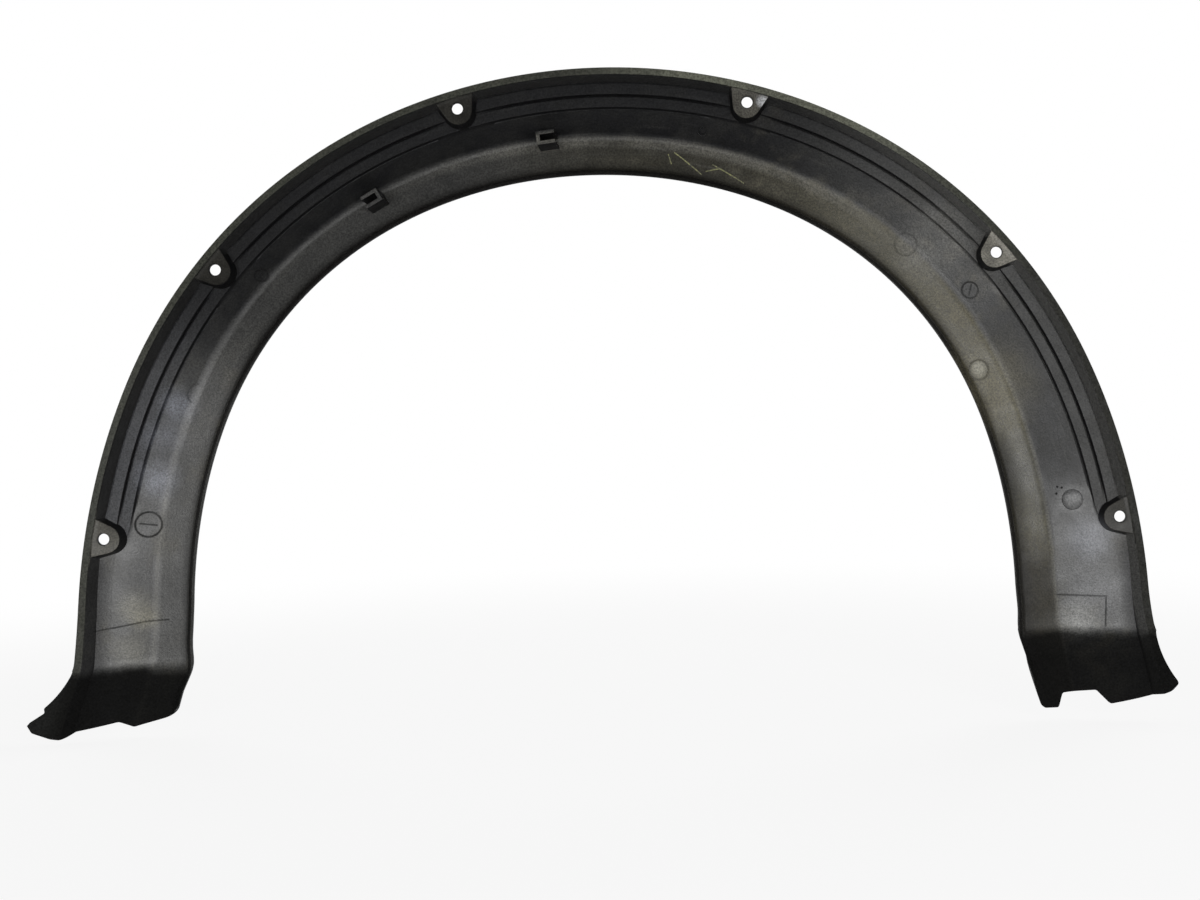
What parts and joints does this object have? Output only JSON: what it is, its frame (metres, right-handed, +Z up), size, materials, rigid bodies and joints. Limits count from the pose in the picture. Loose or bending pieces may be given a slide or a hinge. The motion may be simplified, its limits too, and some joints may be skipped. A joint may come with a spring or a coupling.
{
  "type": "wheel arch flare",
  "caption": "Moulded black plastic wheel arch flare: a curved shell with a rim, bolt pockets recessed from outside, an inner lip, clip towers and raked feet.",
  "frame": {"origin": "midway between the two crown bolt holes, on the flat boss faces that lie on the car body", "axes": "+X along the car, +Y out of the car body, +Z up; the arch lies in the XZ plane with the wheel opening below the origin"},
  "size_m": [1.01, 0.0903, 0.5886],
  "materials": {
    "flare_plastic": "fine-grained black moulded plastic, dusty and scuffed on the side that faces the car"
  },
  "bodies": {
    "root": {"wheel_arch_flare": "flare_plastic"}
  },
  "joints": []
}
